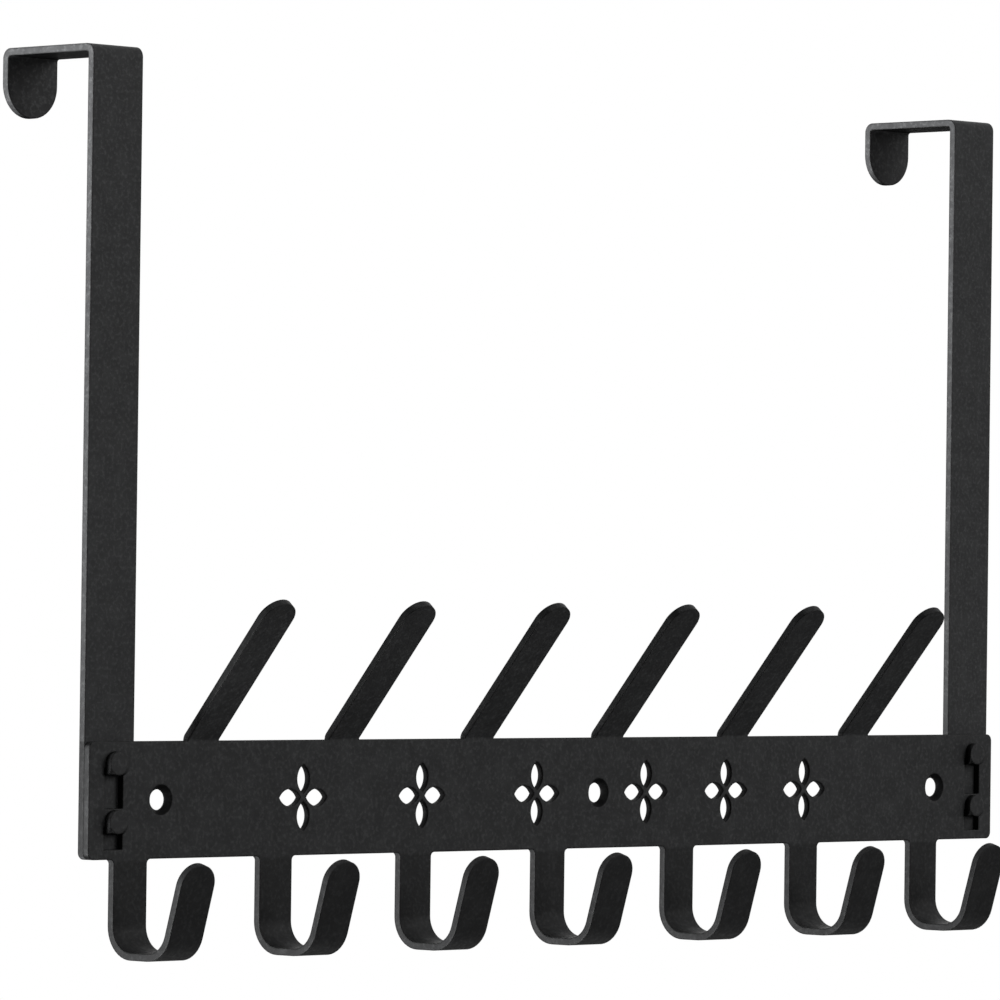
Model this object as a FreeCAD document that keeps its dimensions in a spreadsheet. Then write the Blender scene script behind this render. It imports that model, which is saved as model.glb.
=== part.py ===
import FreeCAD, Part
import math
import os
import Sketcher

# Over-door hook rack, in millimetres.
#
# The rack is three pieces of black coated sheet steel. The hook bar is one cut and bent sheet:
# a long pierced plate, a row of round-bottomed hooks along its lower edge and a row of straight
# prongs along its upper edge. Two flat straps stand behind the ends of the bar. Each is bent
# over the top of the door and down its far side. Each strap also carries two small tongues that
# are sheared from it, stepped forward through windows in the bar and lapped over the front of
# the bar's webs, so the webs rest in the crooks of the tongues.
#
# X runs along the bar, the front of the rack faces -Y and Z is up. The origin lies on the back
# face of the bar, half way between the two outer screw holes.

SHEET_SIZES = {
    "sheet_thickness": 2.5,
    "bar_length": 466.0,
    "plate_height": 39.5,
    "corner_radius": 2.5,
    "hook_count": 7,
    "hook_inset": 19.3,
    "hook_end_inset": 39.1,
    "hook_width": 15.2,
    "hook_drop": 33.3,
    "hook_bend_radius": 8.7,
    "hook_flat": 8.2,
    "hook_lean": 16.6,
    "hook_arm": 18.0,
    "hook_root_fillet": 1.6,
    "prong_count": 6,
    "prong_inset": 52.4,
    "prong_end_inset": 78.6,
    "prong_width": 14.3,
    "prong_bend_radius": 1.0,
    "prong_angle": 40.7,
    "prong_arm": 53.3,
    "screw_clearance": 10.5,
    "middle_screw_offset": 15.0,
    "screw_hole": 7.0,
    "countersink_width": 10.4,
    "countersink_depth": 1.9,
    "strap_width": 22.5,
    "strap_rise": 233.0,
    "door_gap": 40.0,
    "strap_bend_radius": 1.0,
    "back_leg_drop": 23.2,
    "tongue_width": 8.0,
    "tongue_lap": 5.6,
    "tongue_depth": 8.9,
    "tongue_rise": 11.0,
    "tongue_gap": 0.3,
    "shear_gap": 0.2,
    "window_side_gap": 0.3,
    "web_height": 6.0,
    "lower_rim": 3.3,
    "petal_length": 10.2,
    "petal_width": 6.0,
    "petal_inset": 1.3,
    "motif_count": 3,
    "left_motif_gap": 32.0,
    "left_motif_pitch": 58.0,
    "right_motif_gap": 25.0,
    "right_motif_pitch": 43.0,
}
TONGUE_COUNT = 2
PETAL_COUNT = 4

# Shared places and spacings, written as expressions of the sheet.
TOP_EDGE = "Sizes.plate_height / 2"
BOTTOM_EDGE = "-Sizes.plate_height / 2"
THICK = "Sizes.sheet_thickness"
FIRST_HOOK = "(-Sizes.bar_length / 2 + Sizes.hook_inset)"
HOOK_SPAN = "(Sizes.bar_length - Sizes.hook_inset - Sizes.hook_end_inset)"
HOOK_PITCH = f"({HOOK_SPAN} / (Sizes.hook_count - 1))"
FIRST_PRONG = "(-Sizes.bar_length / 2 + Sizes.prong_inset)"
PRONG_SPAN = "(Sizes.bar_length - Sizes.prong_inset - Sizes.prong_end_inset)"
PRONG_PITCH = f"({PRONG_SPAN} / (Sizes.prong_count - 1))"
OUTER_SCREW = "(Sizes.bar_length / 2 - Sizes.strap_width - Sizes.screw_clearance)"
TONGUE_PITCH = "(Sizes.plate_height - Sizes.tongue_depth - Sizes.tongue_rise)"

doc = FreeCAD.newDocument("OverDoorRack")
sheet = doc.addObject("Spreadsheet::Sheet", "Sizes")
for row, (alias, size) in enumerate(SHEET_SIZES.items(), start=1):
    sheet.set(f"A{row}", alias.replace("_", " "))
    sheet.set(f"B{row}", str(size))
    sheet.setAlias(f"B{row}", alias)
doc.recompute()


def value(expression):
    """The present value of an expression of the sheet, as a plain number."""
    return float(sheet.evalExpression(str(expression).replace("Sizes.", "")))


def origin_feature(body, role):
    """The origin plane or axis of a body with the given role."""
    return next(feature for feature in body.Origin.OriginFeatures if feature.Role == role)


def new_sketch(body, name, role, offset=("0", "0", "0"), tilt="0"):
    """A sketch on one of the body's origin planes, moved by offset and tilted about its own X."""
    sketch = body.newObject("Sketcher::SketchObject", name)
    sketch.AttachmentSupport = [(origin_feature(body, role), "")]
    sketch.MapMode = "FlatFace"
    turn = FreeCAD.Rotation(FreeCAD.Vector(1, 0, 0), value(tilt))
    sketch.AttachmentOffset = FreeCAD.Placement(FreeCAD.Vector(*map(value, offset)), turn)
    for axis, expression in zip("xyz", offset):
        sketch.setExpression(f"AttachmentOffset.Base.{axis}", expression)
    if tilt != "0":
        sketch.setExpression("AttachmentOffset.Rotation.Angle", tilt)
    return sketch


def hold(sketch, geometry, point, x, y):
    """Holds one point of a sketch at the coordinates that two expressions give."""
    for kind, axis, expression in (("DistanceX", -2, x), ("DistanceY", -1, y)):
        if expression == "0":
            sketch.addConstraint(Sketcher.Constraint("PointOnObject", geometry, point, axis))
            continue
        made = sketch.addConstraint(
            Sketcher.Constraint(kind, -1, 1, geometry, point, value(expression)))
        sketch.setExpression(f"Constraints[{made}]", expression)


def round_stretch(start, end, radius, turn):
    """The arc from start to end: turn is 1 for an anticlockwise arc and -1 for a clockwise one."""
    chord = end - start
    half = chord.Length / 2
    to_centre = math.sqrt(max(radius ** 2 - half ** 2, 0))
    side = FreeCAD.Vector(-chord.y, chord.x, 0).normalize() * turn
    centre = start + chord / 2 + side * to_centre
    middle = centre - side * radius
    return Part.Arc(start, middle, end)


def outline(sketch, corners, arcs=None):
    """A closed outline through corners that are each held by two expressions of the sheet.

    arcs names the corners where a round stretch starts, with its radius and its turn.
    """
    arcs = arcs or {}
    points = [FreeCAD.Vector(value(x), value(y), 0) for x, y in corners]
    first = sketch.GeometryCount
    count = len(corners)
    starts = []
    for index, start in enumerate(points):
        end = points[(index + 1) % count]
        if index in arcs:
            radius, turn = arcs[index]
            sketch.addGeometry(round_stretch(start, end, value(radius), turn), False)
            # An arc of a sketch always runs anticlockwise, so a clockwise one starts at its end.
            starts.append((1, 2) if turn > 0 else (2, 1))
        else:
            sketch.addGeometry(Part.LineSegment(start, end), False)
            starts.append((1, 2))
    for index, (x, y) in enumerate(corners):
        following = (index + 1) % count
        sketch.addConstraint(Sketcher.Constraint(
            "Coincident", first + index, starts[index][1], first + following, starts[following][0]))
        hold(sketch, first + index, starts[index][0], x, y)
    for index, (radius, _) in arcs.items():
        made = sketch.addConstraint(Sketcher.Constraint("Radius", first + index, value(radius)))
        sketch.setExpression(f"Constraints[{made}]", radius)


def circle(sketch, x, y, radius):
    """A circle whose centre and radius are held by expressions of the sheet."""
    centre = FreeCAD.Vector(value(x), value(y), 0)
    made = sketch.addGeometry(Part.Circle(centre, FreeCAD.Vector(0, 0, 1), value(radius)), False)
    hold(sketch, made, 3, x, y)
    held = sketch.addConstraint(Sketcher.Constraint("Radius", made, value(radius)))
    sketch.setExpression(f"Constraints[{held}]", radius)


def box_outline(sketch, left, right, low, high):
    """A rectangle between four expressions."""
    outline(sketch, [(left, low), (right, low), (right, high), (left, high)])


def pad(body, sketch, name, length, both_ways=False):
    """A pad of the sketch, to one side of its plane or half to each side."""
    made = body.newObject("PartDesign::Pad", name)
    made.Profile = sketch
    made.SideType = "Symmetric" if both_ways else "One side"
    made.setExpression("Length", length)
    doc.recompute()
    return made


def pocket(body, sketch, name, depth, taper=None):
    """A pocket that cuts away from the sketch's normal, and is checked to have cut something."""
    before = body.Tip.Shape.Volume
    made = body.newObject("PartDesign::Pocket", name)
    made.Profile = sketch
    made.setExpression("Length", depth)
    if taper:
        made.setExpression("TaperAngle", taper)
    doc.recompute()
    cut = before - made.Shape.Volume
    print(f"{name} cuts {cut:.1f} mm3")
    if cut <= 0:
        raise RuntimeError(f"{name} cuts nothing")
    return made


def row_of(body, features, name, role, spacing, count, reverse=False):
    """A straight row of copies of some features along one of the body's axes."""
    made = body.newObject("PartDesign::LinearPattern", name)
    made.Originals = features
    made.Direction = (origin_feature(body, role), [""])
    made.Mode = "Spacing"
    made.Reversed = reverse
    made.setExpression("Offset", spacing)
    if isinstance(count, int):
        made.Occurrences = count
    else:
        made.setExpression("Occurrences", count)
    body.Tip = made
    doc.recompute()
    return made


def round_edges(body, name, radius, wanted):
    """Fillets the edges of the body's present shape that wanted accepts."""
    base = body.Tip
    names = [f"Edge{index}" for index, edge in enumerate(base.Shape.Edges, start=1) if wanted(edge)]
    print(f"{name} rounds {len(names)} edges")
    made = body.newObject("PartDesign::Fillet", name)
    made.Base = (base, names)
    made.setExpression("Radius", radius)
    doc.recompute()
    return made


def crosswise(edge, places, height):
    """Whether an edge runs front to back through the sheet at one of the places, at a height."""
    if edge.Curve.TypeId != "Part::GeomLine" or abs(edge.Curve.Direction.y) < 0.999:
        return False
    middle = edge.CenterOfMass
    return abs(middle.z - height) < 0.01 and any(abs(middle.x - x) < 0.01 for x in places)


def both_sides(first, pitch, count, width):
    """The X of the two sides of each blade in a row, worked out from expressions of the sheet."""
    centres = [value(first) + value(pitch) * index for index in range(int(value(count)))]
    return [centre + side * value(width) / 2 for centre in centres for side in (-1, 1)]


def add_plate(body):
    """The long flat plate, its front face forward of the XZ plane, with small round corners."""
    sketch = new_sketch(body, "PlateOutline", "XZ_Plane")
    right = "Sizes.bar_length / 2"
    left = f"-{right}"
    inner_right = f"{right} - Sizes.corner_radius"
    inner_left = f"{left} + Sizes.corner_radius"
    inner_top = f"{TOP_EDGE} - Sizes.corner_radius"
    inner_bottom = f"{BOTTOM_EDGE} + Sizes.corner_radius"
    corners = [
        (inner_left, BOTTOM_EDGE), (inner_right, BOTTOM_EDGE),
        (right, inner_bottom), (right, inner_top),
        (inner_right, TOP_EDGE), (inner_left, TOP_EDGE),
        (left, inner_top), (left, inner_bottom),
    ]
    arcs = {index: ("Sizes.corner_radius", 1) for index in (1, 3, 5, 7)}
    outline(sketch, corners, arcs)
    return pad(body, sketch, "Plate", THICK)


def add_hooks(body):
    """The row of hooks: a leg in the plane of the plate, two bends with a flat between, and an arm."""
    inner = "Sizes.hook_bend_radius"
    outer = f"({inner} + {THICK})"
    rear_y = f"-({THICK} + {inner})"
    front_y = f"({rear_y} - Sizes.hook_flat)"
    centre_z = f"({BOTTOM_EDGE} - Sizes.hook_drop + {outer})"
    lean_sin = "sin(Sizes.hook_lean)"
    lean_cos = "cos(Sizes.hook_lean)"

    def on_arm(radius, along):
        """A point beside the arm: a radius from the front bend's centre, then some way up the arm."""
        return (f"{front_y} - {radius} * {lean_cos} - {along} * {lean_sin}",
                f"{centre_z} - {radius} * {lean_sin} + {along} * {lean_cos}")

    profile = new_sketch(body, "HookProfile", "YZ_Plane", ("0", "0", FIRST_HOOK))
    corners = [
        ("0", BOTTOM_EDGE), ("0", centre_z),
        (rear_y, f"{centre_z} - {outer}"), (front_y, f"{centre_z} - {outer}"),
        on_arm(outer, "0"), on_arm(outer, "Sizes.hook_arm"),
        on_arm(inner, "Sizes.hook_arm"), on_arm(inner, "0"),
        (front_y, f"{centre_z} - {inner}"), (rear_y, f"{centre_z} - {inner}"),
        (f"-{THICK}", centre_z), (f"-{THICK}", BOTTOM_EDGE),
    ]
    arcs = {1: (outer, -1), 3: (outer, -1), 7: (inner, 1), 9: (inner, 1)}
    outline(profile, corners, arcs)
    blade = pad(body, profile, "Hook", "Sizes.hook_width", both_ways=True)

    tip_y, tip_z = on_arm(f"({inner} + {THICK} / 2)", "Sizes.hook_arm")
    tip_place = (FIRST_HOOK, tip_z, f"-({tip_y})")
    end = new_sketch(body, "HookTipOutline", "XZ_Plane", tip_place, "Sizes.hook_lean")
    circle(end, "0", "0", "Sizes.hook_width / 2")
    tip = pad(body, end, "HookTip", THICK, both_ways=True)
    row_of(body, [blade, tip], "HookRow", "X_Axis", HOOK_PITCH, "Sizes.hook_count")


def add_prongs(body):
    """The row of straight prongs, bent sharply forward along the upper edge of the plate."""
    inner = "Sizes.prong_bend_radius"
    outer = f"({inner} + {THICK})"
    centre_y = f"-({THICK} + {inner})"
    turn_sin = "sin(Sizes.prong_angle)"
    turn_cos = "cos(Sizes.prong_angle)"

    def on_arm(radius, along):
        """A point beside the prong: a radius from the bend's centre, then some way along it."""
        return (f"{centre_y} + {radius} * {turn_cos} - {along} * {turn_sin}",
                f"{TOP_EDGE} + {radius} * {turn_sin} + {along} * {turn_cos}")

    profile = new_sketch(body, "ProngProfile", "YZ_Plane", ("0", "0", FIRST_PRONG))
    corners = [
        ("0", TOP_EDGE), on_arm(outer, "0"), on_arm(outer, "Sizes.prong_arm"),
        on_arm(inner, "Sizes.prong_arm"), on_arm(inner, "0"), (f"-{THICK}", TOP_EDGE),
    ]
    outline(profile, corners, {0: (outer, 1), 4: (inner, -1)})
    blade = pad(body, profile, "Prong", "Sizes.prong_width", both_ways=True)

    tip_y, tip_z = on_arm(f"({inner} + {THICK} / 2)", "Sizes.prong_arm")
    tip_place = (FIRST_PRONG, tip_z, f"-({tip_y})")
    end = new_sketch(body, "ProngTipOutline", "XZ_Plane", tip_place, "Sizes.prong_angle")
    circle(end, "0", "0", "Sizes.prong_width / 2")
    tip = pad(body, end, "ProngTip", THICK, both_ways=True)
    row_of(body, [blade, tip], "ProngRow", "X_Axis", PRONG_PITCH, "Sizes.prong_count")


def add_windows(body):
    """Two windows behind each other's tongue at each end: a web of the bar lies above each."""
    sketch = new_sketch(body, "WindowOutlines", "XZ_Plane", ("0", "0", THICK))
    half = "(Sizes.tongue_width / 2 + Sizes.window_side_gap)"
    strap_place = "(Sizes.bar_length / 2 - Sizes.strap_width / 2)"
    crook = f"{TOP_EDGE} - Sizes.tongue_depth"
    lower_crook = f"{crook} - {TONGUE_PITCH}"
    upper_sill = f"{lower_crook} + Sizes.web_height"
    lower_sill = f"{BOTTOM_EDGE} + Sizes.lower_rim"
    for side in ("-", ""):
        left = f"{side}{strap_place} - {half}"
        right = f"{side}{strap_place} + {half}"
        box_outline(sketch, left, right, upper_sill, crook)
        box_outline(sketch, left, right, lower_sill, lower_crook)
    pocket(body, sketch, "Windows", THICK)


def add_screw_holes(body):
    """Three countersunk screw holes at half height: one near each end, one right of the middle."""
    places = (f"-{OUTER_SCREW}", "Sizes.middle_screw_offset", OUTER_SCREW)
    through = new_sketch(body, "ScrewHoleCircles", "XZ_Plane", ("0", "0", THICK))
    for place in places:
        circle(through, place, "0", "Sizes.screw_hole / 2")
    pocket(body, through, "ScrewHoles", THICK)

    rims = new_sketch(body, "CountersinkCircles", "XZ_Plane", ("0", "0", THICK))
    for place in places:
        circle(rims, place, "0", "Sizes.countersink_width / 2")
    slope = "-atan((Sizes.countersink_width - Sizes.screw_hole) / 2 / Sizes.countersink_depth)"
    pocket(body, rims, "Countersinks", "Sizes.countersink_depth", slope)


def add_motifs(body):
    """The pierced motifs: a ring of four pointed petals, three motifs each side of the middle hole."""
    for side, sign in (("left", "-"), ("right", "+")):
        place = f"Sizes.middle_screw_offset {sign} Sizes.{side}_motif_gap"
        name = side.capitalize()
        sketch = new_sketch(body, f"{name}PetalOutline", "XZ_Plane", (place, "0", THICK))
        far = "Sizes.petal_inset + Sizes.petal_length"
        # A petal is two arcs of one radius that meet at its ends.
        radius = ("((Sizes.petal_length ^ 2 + Sizes.petal_width ^ 2) / (4 * Sizes.petal_width))")
        outline(sketch, [("0", "Sizes.petal_inset"), ("0", far)], {0: (radius, 1), 1: (radius, 1)})
        petal = pocket(body, sketch, f"{name}Petal", THICK)
        motif = body.newObject("PartDesign::MultiTransform", f"{name}Motifs")
        motif.Originals = [petal]
        ring = doc.addObject("PartDesign::PolarPattern", f"{name}Ring")
        ring.Axis = (sketch, ["N_Axis"])
        ring.Angle = 360
        ring.Occurrences = PETAL_COUNT
        line = doc.addObject("PartDesign::LinearPattern", f"{name}Line")
        line.Direction = (origin_feature(body, "X_Axis"), [""])
        line.Mode = "Spacing"
        line.Reversed = side == "left"
        line.setExpression("Offset", f"Sizes.{side}_motif_pitch")
        line.setExpression("Occurrences", "Sizes.motif_count")
        motif.Transformations = [ring, line]
        body.Tip = motif
        doc.recompute()


def make_hook_bar():
    """The hook bar, one sheet with its hooks, prongs, windows, screw holes and pierced motifs."""
    body = doc.addObject("PartDesign::Body", "HookBar")
    body.Label = "hook_bar"
    add_plate(body)
    add_hooks(body)
    add_prongs(body)
    hook_sides = both_sides(FIRST_HOOK, HOOK_PITCH, "Sizes.hook_count", "Sizes.hook_width")
    round_edges(body, "HookRoots", "Sizes.hook_root_fillet",
                lambda edge: crosswise(edge, hook_sides, value(BOTTOM_EDGE)))
    add_windows(body)
    add_screw_holes(body)
    add_motifs(body)
    return body


def add_strap_sheet(body):
    """The strap's sheet seen from the side: a long front leg, a bridge and a short back leg."""
    inner = "Sizes.strap_bend_radius"
    outer = f"({inner} + {THICK})"
    depth = f"(Sizes.door_gap + 2 * {THICK})"
    top = f"({TOP_EDGE} + Sizes.strap_rise)"
    under = f"({top} - {THICK})"
    bend = f"({top} - {outer})"
    end = f"{top} - Sizes.back_leg_drop + Sizes.strap_width / 2"
    profile = new_sketch(body, "StrapProfile", "YZ_Plane")
    corners = [
        ("0", BOTTOM_EDGE), (THICK, BOTTOM_EDGE), (THICK, bend), (outer, under),
        (f"{depth} - {outer}", under), (f"{depth} - {THICK}", bend), (f"{depth} - {THICK}", end),
        (depth, end), (depth, bend), (f"{depth} - {outer}", top), (outer, top), ("0", bend),
    ]
    arcs = {2: (inner, -1), 4: (inner, -1), 8: (outer, 1), 10: (outer, 1)}
    outline(profile, corners, arcs)
    pad(body, profile, "StrapSheet", "Sizes.strap_width", both_ways=True)
    round_end = new_sketch(body, "BackLegEndOutline", "XZ_Plane", ("0", end, f"-({depth} - {THICK} / 2)"))
    circle(round_end, "0", "0", "Sizes.strap_width / 2")
    pad(body, round_end, "BackLegEnd", THICK, both_ways=True)


def add_tongues(body):
    """Two tongues sheared from the front leg, stepped forward and lapped up over the bar's webs."""
    crook = f"({TOP_EDGE} - Sizes.tongue_depth)"
    inner = "Sizes.tongue_gap"
    outer = f"({inner} + {THICK})"
    root = f"({crook} - {outer})"
    lap_back = f"-({THICK} + Sizes.tongue_gap)"
    lap_front = f"({lap_back} - {THICK})"
    half = "(Sizes.tongue_width / 2)"
    tip_centre = f"({crook} + Sizes.tongue_lap - {half})"
    slot_half = f"({half} + Sizes.shear_gap)"

    slot = new_sketch(body, "TongueSlotOutline", "XZ_Plane")
    corners = [
        (f"-{slot_half}", root), (slot_half, root), (slot_half, tip_centre),
        ("0", f"{tip_centre} + {slot_half}"), (f"-{slot_half}", tip_centre),
    ]
    outline(slot, corners, {2: (slot_half, 1), 3: (slot_half, 1)})
    opening = pocket(body, slot, "TongueSlot", THICK)

    profile = new_sketch(body, "TongueProfile", "YZ_Plane")
    corners = [
        ("0", root), (THICK, root), (f"-{inner}", crook), (f"{lap_back} + {inner}", crook),
        (lap_back, f"{crook} + {inner}"), (lap_back, tip_centre), (lap_front, tip_centre),
        (lap_front, f"{crook} + {inner}"), (f"{lap_back} + {inner}", f"{crook} - {THICK}"),
        (f"-{inner}", f"{crook} - {THICK}"),
    ]
    arcs = {1: (outer, 1), 3: (inner, -1), 7: (outer, 1), 9: (inner, -1)}
    outline(profile, corners, arcs)
    blade = pad(body, profile, "Tongue", "Sizes.tongue_width", both_ways=True)

    end = new_sketch(body, "TongueTipOutline", "XZ_Plane", ("0", tip_centre, f"-({lap_back} - {THICK} / 2)"))
    circle(end, "0", "0", half)
    tip = pad(body, end, "TongueTip", THICK, both_ways=True)
    row_of(body, [opening, blade, tip], "TonguePair", "Z_Axis", TONGUE_PITCH, TONGUE_COUNT,
           reverse=True)


def make_strap(name, label, side):
    """One strap, modelled about its own middle and placed behind one end of the bar."""
    body = doc.addObject("PartDesign::Body", name)
    body.Label = label
    add_strap_sheet(body)
    add_tongues(body)
    edges = [side_sign * value("Sizes.strap_width / 2") for side_sign in (-1, 1)]
    round_edges(body, f"{name}LowerCorners", "Sizes.corner_radius",
                lambda edge: crosswise(edge, edges, value(BOTTOM_EDGE)))
    body.setExpression("Placement.Base.x", f"{side}(Sizes.bar_length / 2 - Sizes.strap_width / 2)")
    doc.recompute()
    return body


def check_document():
    """Stops the build if any object of the document failed to compute."""
    for item in doc.Objects:
        if "Invalid" in item.State or "Error" in item.State:
            raise RuntimeError(f"{item.Name} is {item.State}")


pieces = [make_hook_bar(), make_strap("LeftStrap", "left_strap", "-"), make_strap("RightStrap", "right_strap", "")]
doc.recompute()
check_document()
os.makedirs("parts", exist_ok=True)
for piece in pieces:
    shape = piece.Shape
    if shape.isNull() or not shape.isValid():
        raise RuntimeError(f"{piece.Label} has no valid shape")
    if len(shape.Solids) != 1:
        raise RuntimeError(f"{piece.Label} is {len(shape.Solids)} solids")
    shape.exportStep(os.path.join("parts", f"{piece.Label}.step"))
    bounds = shape.BoundBox
    print(f"{piece.Label}: {shape.Volume:.1f} mm3, {len(shape.Faces)} faces, "
          f"X {bounds.XMin:.2f} to {bounds.XMax:.2f}, Y {bounds.YMin:.2f} to {bounds.YMax:.2f}, "
          f"Z {bounds.ZMin:.2f} to {bounds.ZMax:.2f}")
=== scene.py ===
# %% [markdown]
# # An over-door hook rack in sandy black powder coat
#
# The real rack is three pieces of sheet steel: a long bar with hooks below and prongs above, and
# two flat straps that go over a door. They come in from the construction model, which stays the
# authority on every size, so nothing is drawn twice here. This file gives them what the solids
# can't say: the coating with light and shade painted into its colour, its darker edges, the light
# and the place of the camera.

# %% Load the rack
import math
import bpy
from mathutils import Euler, Matrix, Vector

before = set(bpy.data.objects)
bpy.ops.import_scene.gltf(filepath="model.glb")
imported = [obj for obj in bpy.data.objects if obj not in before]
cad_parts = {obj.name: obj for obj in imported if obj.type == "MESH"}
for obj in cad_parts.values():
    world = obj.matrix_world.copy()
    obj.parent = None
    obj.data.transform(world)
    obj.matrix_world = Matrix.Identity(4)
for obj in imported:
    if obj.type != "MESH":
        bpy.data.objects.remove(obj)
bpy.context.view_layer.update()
print("pieces:", ", ".join(sorted(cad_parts)))

# %% [markdown]
# ## The camera
#
# Lines of the rack that run along the bar draw together only a little towards the right, so the
# picture was taken with a long lens from a few metres away. The viewpoint could be found by eye,
# but a rack has many straight edges of known length, and a camera that is fitted to all of them
# at once agrees with more of the picture. The result stands to the left of the rack, half
# turned, almost level with the bar, and leans by less than a degree.

# %% Place the camera
CAMERA_PLACE = Vector((-1.82276, -1.72437, 0.06967))
TURN_RIGHT = math.radians(46.031)
LOOK_UP = math.radians(0.789)
LEAN = math.radians(0.734)

camera_data = bpy.data.cameras.new("camera")
camera_data.sensor_width = 36.0
camera_data.lens = 253.06
camera_data.clip_end = 100.0
camera = bpy.data.objects.new("camera", camera_data)
looking = Euler((math.pi / 2 + LOOK_UP, 0.0, -TURN_RIGHT)).to_matrix() @ Matrix.Rotation(LEAN, 3, "Z")
camera.matrix_world = Matrix.Translation(CAMERA_PLACE) @ looking.to_4x4()
bpy.context.collection.objects.link(camera)
bpy.context.scene.camera = camera
print("distance to the middle of the bar:", round(CAMERA_PLACE.length, 3), "m")

# %% [markdown]
# ## Small helpers for building a finish
#
# A finish is a chain of nodes. A few short helpers keep the chains readable: one makes a node with
# its settings, one joins an output to an input, and the others make the sums, masks and blends
# that the finishes below are built from. Noise is always read in the rack's own coordinates, in
# metres, so a grain has a real size and doesn't slide or stretch on any piece.

# %% Helpers for nodes
def add_node(tree, kind, **settings):
    """A new shader node, with its plain properties and its unlinked inputs set by name."""
    node = tree.nodes.new(kind)
    for name, setting in settings.items():
        if name in node.inputs:
            node.inputs[name].default_value = setting
        else:
            setattr(node, name, setting)
    return node


def join(tree, output, target):
    """Links an output socket to an input socket."""
    tree.links.new(output, target)
    return output


def noise(tree, place, grain, detail=2.0, roughness=0.5):
    """Noise whose spots are about as wide as the grain, in metres."""
    node = add_node(tree, "ShaderNodeTexNoise", Scale=0.5 / grain, Detail=detail, Roughness=roughness)
    join(tree, place, node.inputs["Vector"])
    return node.outputs["Fac"]


def remap(tree, source, low, high, to_low=0.0, to_high=1.0):
    """Stretches the part of a value from low to high over another range, and stops at its ends."""
    node = add_node(tree, "ShaderNodeMapRange", clamp=True)
    join(tree, source, node.inputs["Value"])
    for name, number in (("From Min", low), ("From Max", high), ("To Min", to_low), ("To Max", to_high)):
        node.inputs[name].default_value = number
    return node.outputs["Result"]


def combine(tree, operation, first, second):
    """A sum, product or other operation of two values, of which each is a socket or a number."""
    node = add_node(tree, "ShaderNodeMath", operation=operation)
    for socket, source in zip(node.inputs, (first, second)):
        if isinstance(source, (int, float)):
            socket.default_value = source
        else:
            join(tree, source, socket)
    return node.outputs["Value"]


def parts_of(tree, vector):
    """The X, Y and Z outputs of a vector."""
    node = add_node(tree, "ShaderNodeSeparateXYZ")
    join(tree, vector, node.inputs["Vector"])
    return node.outputs


def both(tree, first, second):
    """How far two masks are both met."""
    return combine(tree, "MULTIPLY", first, second)


def tone_where(tree, mask, tone):
    """A tone where a mask is met, and full tone elsewhere."""
    return remap(tree, mask, 0.0, 1.0, 1.0, tone)


def blend_values(tree, plain, other, mask):
    """A plain number where a mask isn't met, and another value where it is."""
    departure = combine(tree, "SUBTRACT", other, plain)
    return combine(tree, "ADD", plain, both(tree, departure, mask))


def blend_colours(tree, first, second, share):
    """A mix of two colours, of which each is a socket or three numbers."""
    node = add_node(tree, "ShaderNodeMix", data_type="RGBA")
    for socket, source in zip((node.inputs[6], node.inputs[7]), (first, second)):
        if isinstance(source, tuple):
            socket.default_value = (*source, 1.0)
        else:
            join(tree, source, socket)
    join(tree, share, node.inputs[0])
    return node.outputs[2]


# %% [markdown]
# ## Sandy powder coat
#
# Powder coat is sprayed on as dry plastic dust and baked until it flows together. The sandy kind
# stops flowing early and keeps fine grains. Here they are about 0.7 mm wide and less than a tenth
# of a millimetre high, over a soft waviness about 3 mm wide. Edges are a little smoother and
# darker than the faces. The coat could be painted as an image, but an image has seams on bent
# sheet. Noise in space has none, and runs round every bend at one size.
#
# The tone paints light and shade into the colour. Places with painted shade are also dull, so one
# tone drives both the colour and the shine.
#
# The edge is found with the Bevel node. It gives the direction that the surface would face if its
# corners were round. Where that differs from the true direction there is an edge, so one node
# both softens the corner for the light and says where the edge colour goes.

# %% Make the coating
GRAIN = 0.0007
WAVE = 0.003
CLOUD = 0.045
EDGE_RADIUS = 0.0009
DULLEST = 0.01
SHINIEST = 0.12


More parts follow.
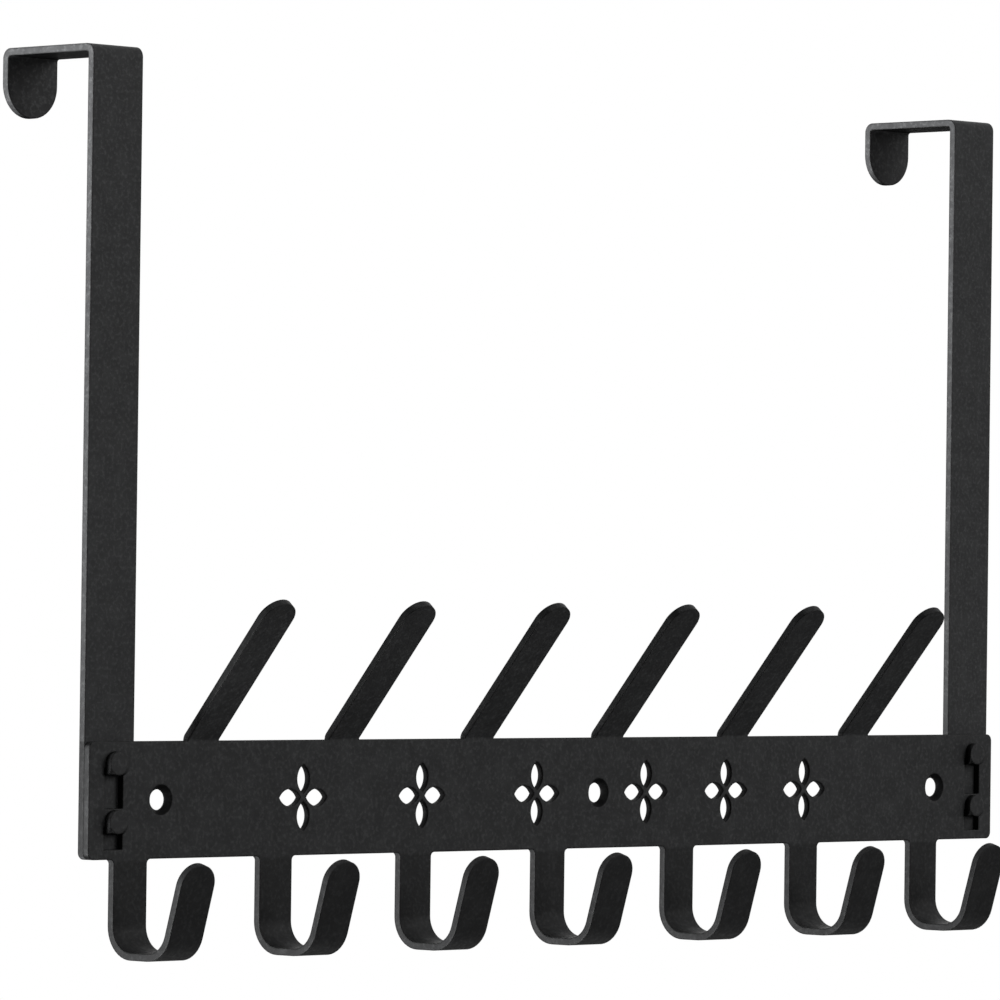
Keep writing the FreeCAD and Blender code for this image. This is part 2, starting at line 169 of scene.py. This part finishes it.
def sandy_coat(name, face_colour, speck_colour, edge_colour, painted_light_and_shade_of):
    """A black powder coat: grain and waviness in its surface, paler specks and dark edges.

    The last argument gives painted light and shade: how pale the coat is by place and facing.
    """
    material = bpy.data.materials.new(name)
    material.use_nodes = True
    tree = material.node_tree
    shader = tree.nodes["Principled BSDF"]
    place = add_node(tree, "ShaderNodeTexCoord").outputs["Object"]

    grain = noise(tree, place, GRAIN, detail=3.0, roughness=0.6)
    wave = noise(tree, place, WAVE, detail=1.0)
    cloud = noise(tree, place, CLOUD, detail=2.0)

    rounded = add_node(tree, "ShaderNodeBevel", samples=6, Radius=EDGE_RADIUS)
    true_face = add_node(tree, "ShaderNodeNewGeometry").outputs["True Normal"]
    agreement = add_node(tree, "ShaderNodeVectorMath", operation="DOT_PRODUCT")
    join(tree, rounded.outputs["Normal"], agreement.inputs[0])
    join(tree, true_face, agreement.inputs[1])
    edge = remap(tree, agreement.outputs["Value"], 0.985, 0.90)
    ragged = combine(tree, "MULTIPLY", edge, remap(tree, wave, 0.36, 0.62, 0.55, 1.0))

    specks = remap(tree, grain, 0.50, 0.70, 0.0, 0.75)
    ripples = remap(tree, wave, 0.40, 0.66, 0.0, 0.25)
    patches = combine(tree, "ADD", ripples, remap(tree, cloud, 0.3, 0.7, 0.0, 0.10))
    mottle = combine(tree, "ADD", specks, patches)
    face = blend_colours(tree, face_colour, speck_colour, mottle)
    dark_edged = blend_colours(tree, face, edge_colour, ragged)
    # Painted light and shade: the tone scales the colour by place and facing, and also sets the shine.
    tone = painted_light_and_shade_of(tree, parts_of(tree, place), parts_of(tree, true_face))
    shaded = add_node(tree, "ShaderNodeVectorMath", operation="SCALE")
    join(tree, dark_edged, shaded.inputs["Vector"])
    join(tree, tone, shaded.inputs["Scale"])
    join(tree, shaded.outputs["Vector"], shader.inputs["Base Color"])
    join(tree, remap(tree, tone, 0.1, 0.5, DULLEST, SHINIEST), shader.inputs["Specular IOR Level"])

    sheen = remap(tree, grain, 0.3, 0.7, 0.62, 0.46)
    gloss = combine(tree, "SUBTRACT", sheen, combine(tree, "MULTIPLY", ragged, 0.10))
    join(tree, gloss, shader.inputs["Roughness"])

    fine_relief = combine(tree, "MULTIPLY", grain, 0.7)
    relief = combine(tree, "ADD", fine_relief, combine(tree, "MULTIPLY", wave, 0.6))
    bump = add_node(tree, "ShaderNodeBump", Strength=0.8, Distance=0.00012)
    join(tree, relief, bump.inputs["Height"])
    join(tree, rounded.outputs["Normal"], bump.inputs["Normal"])
    join(tree, bump.outputs["Normal"], shader.inputs["Normal"])
    return material


print("grain", GRAIN * 1000, "mm, waviness", WAVE * 1000, "mm, edge radius", EDGE_RADIUS * 1000, "mm")

# %% [markdown]
# ## Which sheet gets which coat
#
# All three sheets have the same kind of coat, but it doesn't look alike on them in the picture, so
# the tones below paint light and shade into its colour. Painted shade makes the walls of the
# pierced openings, the roots of the tongues and the undersides darker than the plate. It makes the
# hooks darker than the plate too, darkens the prongs towards their tips and their cut sides still
# more, and darkens the bar's ends and the straps' cut sides beside the bar. The straps are the
# palest, and painted light makes their cut sides paler still near the top. Each tone is a share of
# the full tone, and was set until the render came near the picture.
#
# Two coats of one recipe follow the two material slots that the record names. Each reads its
# own place on the rack and the direction of the face, so the masks below hold for every piece
# of that coat and need no painted map.

# %% Painted shade of the bar
PLATE_HALF = 0.01975
EDGE_OF_PLATE = 0.0004
# Painted shade: these tones darken the hooks, opening walls, bar ends, prongs and undersides, where less
# light falls.
HOOK_PAINTED_SHADE = 0.54
OPENING_WALL_PAINTED_SHADE = 0.22
BAR_END_PAINTED_SHADE = 0.72
PRONG_TIP_PAINTED_SHADE = 0.56
PRONG_SIDE_PAINTED_SHADE = 0.33
BAR_UNDERSIDE_PAINTED_SHADE = 0.55
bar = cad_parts["hook_bar"]
bar_corners = [bar.matrix_world @ Vector(corner) for corner in bar.bound_box]
BAR_HALF = max(corner.x for corner in bar_corners)
PRONG_TOP = max(corner.z for corner in bar_corners)


def bar_painted_shade(tree, place, facing):
    """The plate in full tone; painted shade darkens the hooks, prong tips and sides, undersides, bar ends
    and walls of the openings.
    """
    height = combine(tree, "ABSOLUTE", place["Z"], 0.0)
    sideways = combine(tree, "ABSOLUTE", place["X"], 0.0)
    hooks = remap(tree, place["Z"], -PLATE_HALF, -PLATE_HALF - 0.0012)
    prongs = remap(tree, place["Z"], PLATE_HALF, PLATE_HALF + 0.001)
    within_height = remap(tree, height, PLATE_HALF, PLATE_HALF - EDGE_OF_PLATE)
    within_length = remap(tree, sideways, BAR_HALF, BAR_HALF - EDGE_OF_PLATE)
    is_wall = remap(tree, combine(tree, "ABSOLUTE", facing["Y"], 0.0), 0.95, 0.85)
    opening_wall = both(tree, is_wall, both(tree, within_height, within_length))
    prong_side = both(tree, prongs, remap(tree, combine(tree, "ABSOLUTE", facing["X"], 0.0), 0.5, 0.8))
    underside = remap(tree, facing["Z"], -0.80, -0.97)
    along_prong = remap(tree, place["Z"], PLATE_HALF + 0.004, PRONG_TOP, 1.0, PRONG_TIP_PAINTED_SHADE)
    bar_end = both(tree, is_wall, remap(tree, sideways, BAR_HALF - EDGE_OF_PLATE, BAR_HALF))
    # The painted shade of each place, multiplied into one tone.
    tone = both(tree, tone_where(tree, hooks, HOOK_PAINTED_SHADE),
                tone_where(tree, opening_wall, OPENING_WALL_PAINTED_SHADE))
    tone = both(tree, tone, tone_where(tree, bar_end, BAR_END_PAINTED_SHADE))
    tone = both(tree, tone, both(tree, along_prong, tone_where(tree, prong_side, PRONG_SIDE_PAINTED_SHADE)))
    return both(tree, tone, tone_where(tree, underside, BAR_UNDERSIDE_PAINTED_SHADE))


print("plate", round(PLATE_HALF * 2000, 2), "mm high and", round(BAR_HALF * 2000, 2), "mm long;",
      "prong tips", round(PRONG_TOP * 1000, 2), "mm up")

# %% Painted light and shade of the straps
# Painted shade on the tongues, their cut sides, the bridge's underside and the cut sides beside the bar;
# painted light on the cut sides towards the top.
LAPPED_UP_TO = 0.020
PALER_FROM = 0.03
PALEST_AT = 0.24
TONGUE_RIM = 0.0044
TONGUE_ROOT = 0.0037
TONGUE_PAINTED_SHADE = 0.80
TONGUE_RIM_PAINTED_SHADE = 0.62
TONGUE_ROOT_PAINTED_SHADE = 0.25
BRIDGE_UNDERSIDE_PAINTED_SHADE = 0.10
LAPPED_SIDE_PAINTED_SHADE = 0.50
PALEST_PAINTED_LIGHT = 2.0


def strap_painted_light_and_shade(tree, place, facing):
    """The strap in full tone; painted shade darkens the tongues, the underside and the cut sides beside
    the bar, and painted light makes the cut sides paler towards the top.

    The cut side of a tongue has painted shade, dark near the bar and paler towards the tongue's front
    face.
    """
    in_front = remap(tree, place["Y"], -0.0002, -0.0006)
    is_side = remap(tree, combine(tree, "ABSOLUTE", facing["Y"], 0.0), 0.95, 0.85)
    tongue_side = both(tree, in_front, is_side)
    rim_to_root = remap(tree, place["Y"], -TONGUE_RIM, -TONGUE_ROOT,
                        TONGUE_RIM_PAINTED_SHADE, TONGUE_ROOT_PAINTED_SHADE)
    side_tone = blend_values(tree, 1.0, rim_to_root, tongue_side)
    underside = remap(tree, facing["Z"], -0.80, -0.97)
    cut_side = remap(tree, combine(tree, "ABSOLUTE", facing["X"], 0.0), 0.7, 0.9)
    lapped = both(tree, cut_side, remap(tree, place["Z"], LAPPED_UP_TO, LAPPED_UP_TO - 0.0005))
    paler = both(tree, cut_side, remap(tree, place["Z"], PALER_FROM, PALEST_AT))
    tone = both(tree, tone_where(tree, in_front, TONGUE_PAINTED_SHADE), side_tone)
    tone = both(tree, tone, tone_where(tree, underside, BRIDGE_UNDERSIDE_PAINTED_SHADE))
    return both(tree, tone, both(tree, tone_where(tree, lapped, LAPPED_SIDE_PAINTED_SHADE),
                                 tone_where(tree, paler, PALEST_PAINTED_LIGHT)))


print("strap sides grow paler from", PALER_FROM * 1000, "to", PALEST_AT * 1000, "mm up")

# %% Coat the three sheets
bar_coat = sandy_coat("bar coat", face_colour=(0.0177, 0.0180, 0.0186),
                      speck_colour=(0.045, 0.046, 0.047), edge_colour=(0.007, 0.007, 0.007),
                      painted_light_and_shade_of=bar_painted_shade)
strap_coat = sandy_coat("strap coat", face_colour=(0.0225, 0.0228, 0.0236),
                        speck_colour=(0.052, 0.053, 0.054), edge_colour=(0.009, 0.009, 0.009),
                        painted_light_and_shade_of=strap_painted_light_and_shade)
for name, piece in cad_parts.items():
    coat = bar_coat if name == "hook_bar" else strap_coat
    for place_of_coat in piece.material_slots:
        place_of_coat.material = coat
    print(name, "has", len(piece.data.polygons), "facets and the", coat.name)

# %% [markdown]
# ## The floor
#
# The rack hangs well above the ground when it is in use, so the floor lies far below it and only
# shows in views from above. It is pale and plain. Most of what the camera sees of it is a glow
# that only the camera gets, so it looks nearly white while what it throws up at the rack stays
# weak.

# %% Lay the floor
FLOOR_DROP = 2.4
FLOOR_HALF = 24.0
FLOOR_GLOW = 0.60
floor_mesh = bpy.data.meshes.new("floor")
signs = [(-1, -1), (1, -1), (1, 1), (-1, 1)]
floor_corners = [(x * FLOOR_HALF, y * FLOOR_HALF, -FLOOR_DROP) for x, y in signs]
floor_mesh.from_pydata(floor_corners, [], [(0, 1, 2, 3)])
floor = bpy.data.objects.new("floor", floor_mesh)
bpy.context.collection.objects.link(floor)

floor_finish = bpy.data.materials.new("pale floor")
floor_finish.use_nodes = True
floor_tree = floor_finish.node_tree
floor_paint = floor_tree.nodes["Principled BSDF"]
floor_paint.inputs["Base Color"].default_value = (0.86, 0.86, 0.86, 1.0)
floor_paint.inputs["Roughness"].default_value = 0.9
floor_paint.inputs["Emission Color"].default_value = (1.0, 1.0, 1.0, 1.0)
floor_rays = add_node(floor_tree, "ShaderNodeLightPath")
join(floor_tree, remap(floor_tree, floor_rays.outputs["Is Camera Ray"], 0.0, 1.0, 0.0, FLOOR_GLOW),
     floor_paint.inputs["Emission Strength"])
floor_mesh.materials.append(floor_finish)
print("floor", round(FLOOR_DROP * 1000), "mm under the screw holes")

# %% [markdown]
# ## The light
#
# The picture has a white surround, a soft lamp in front and above, a little to the right, and a
# strip of light from the left, low down and a little behind the bar. The strip catches the cut
# left sides of the straps and hooks.
#
# The surround is the world's colour. It is white to the camera and to reflections, and only a
# dark grey, paler towards the lamp's side of the room, to the light that falls on the rack. So
# black stays black.

# %% Light the rack
LAMP_SIDE = (0.36, -0.72, 0.60)
DARKEST_GREY = 0.03
PALEST_GREY = 0.26
LIT_POINT = (0.0, 0.0, 0.08)

world = bpy.data.worlds.new("surround")
bpy.context.scene.world = world
world.use_nodes = True
sky = world.node_tree
sky.nodes.clear()
rays = add_node(sky, "ShaderNodeLightPath")
seen = combine(sky, "MAXIMUM", rays.outputs["Is Camera Ray"],
               combine(sky, "MAXIMUM", rays.outputs["Is Glossy Ray"], rays.outputs["Is Transmission Ray"]))
direction = add_node(sky, "ShaderNodeTexCoord").outputs["Generated"]
towards_room = add_node(sky, "ShaderNodeVectorMath", operation="DOT_PRODUCT")
join(sky, direction, towards_room.inputs[0])
towards_room.inputs[1].default_value = LAMP_SIDE
grey = remap(sky, towards_room.outputs["Value"], -0.5, 0.9, DARKEST_GREY, PALEST_GREY)
strength = combine(sky, "MAXIMUM", seen, grey)
background = add_node(sky, "ShaderNodeBackground", Color=(1.0, 1.0, 1.0, 1.0))
join(sky, strength, background.inputs["Strength"])
world_out = add_node(sky, "ShaderNodeOutputWorld")
join(sky, background.outputs["Background"], world_out.inputs["Surface"])


def soft_lamp(name, place, aim, width, height, watts):
    """A rectangular lamp at a place, turned to face a point."""
    data = bpy.data.lights.new(name, "AREA")
    data.shape = "RECTANGLE"
    data.size = width
    data.size_y = height
    data.energy = watts
    lamp = bpy.data.objects.new(name, data)
    facing = (Vector(aim) - Vector(place)).to_track_quat("-Z", "Y")
    lamp.matrix_world = Matrix.Translation(Vector(place)) @ facing.to_matrix().to_4x4()
    lamp.visible_camera = False
    bpy.context.collection.objects.link(lamp)
    print(name, "stands", round((Vector(aim) - Vector(place)).length, 2), "m from what it lights")
    return lamp


soft_lamp("front_lamp", (0.75, -1.95, 0.80), LIT_POINT, width=0.9, height=0.9, watts=17.5)
soft_lamp("low_left_strip", (-2.00, 0.42, -0.60), LIT_POINT, width=0.6, height=1.2, watts=125.0)

# %% [markdown]
# ## Last settings
#
# Nothing above may change the size of the rack. The colour view is set to Standard, and a helper
# turns a box into plain numbers.

# %% Set the colour view and a helper for boxes
bpy.context.scene.view_settings.view_transform = "Standard"


def plain(box):
    """A box as lists of plain numbers."""
    return [[float(value) for value in corner] for corner in box]
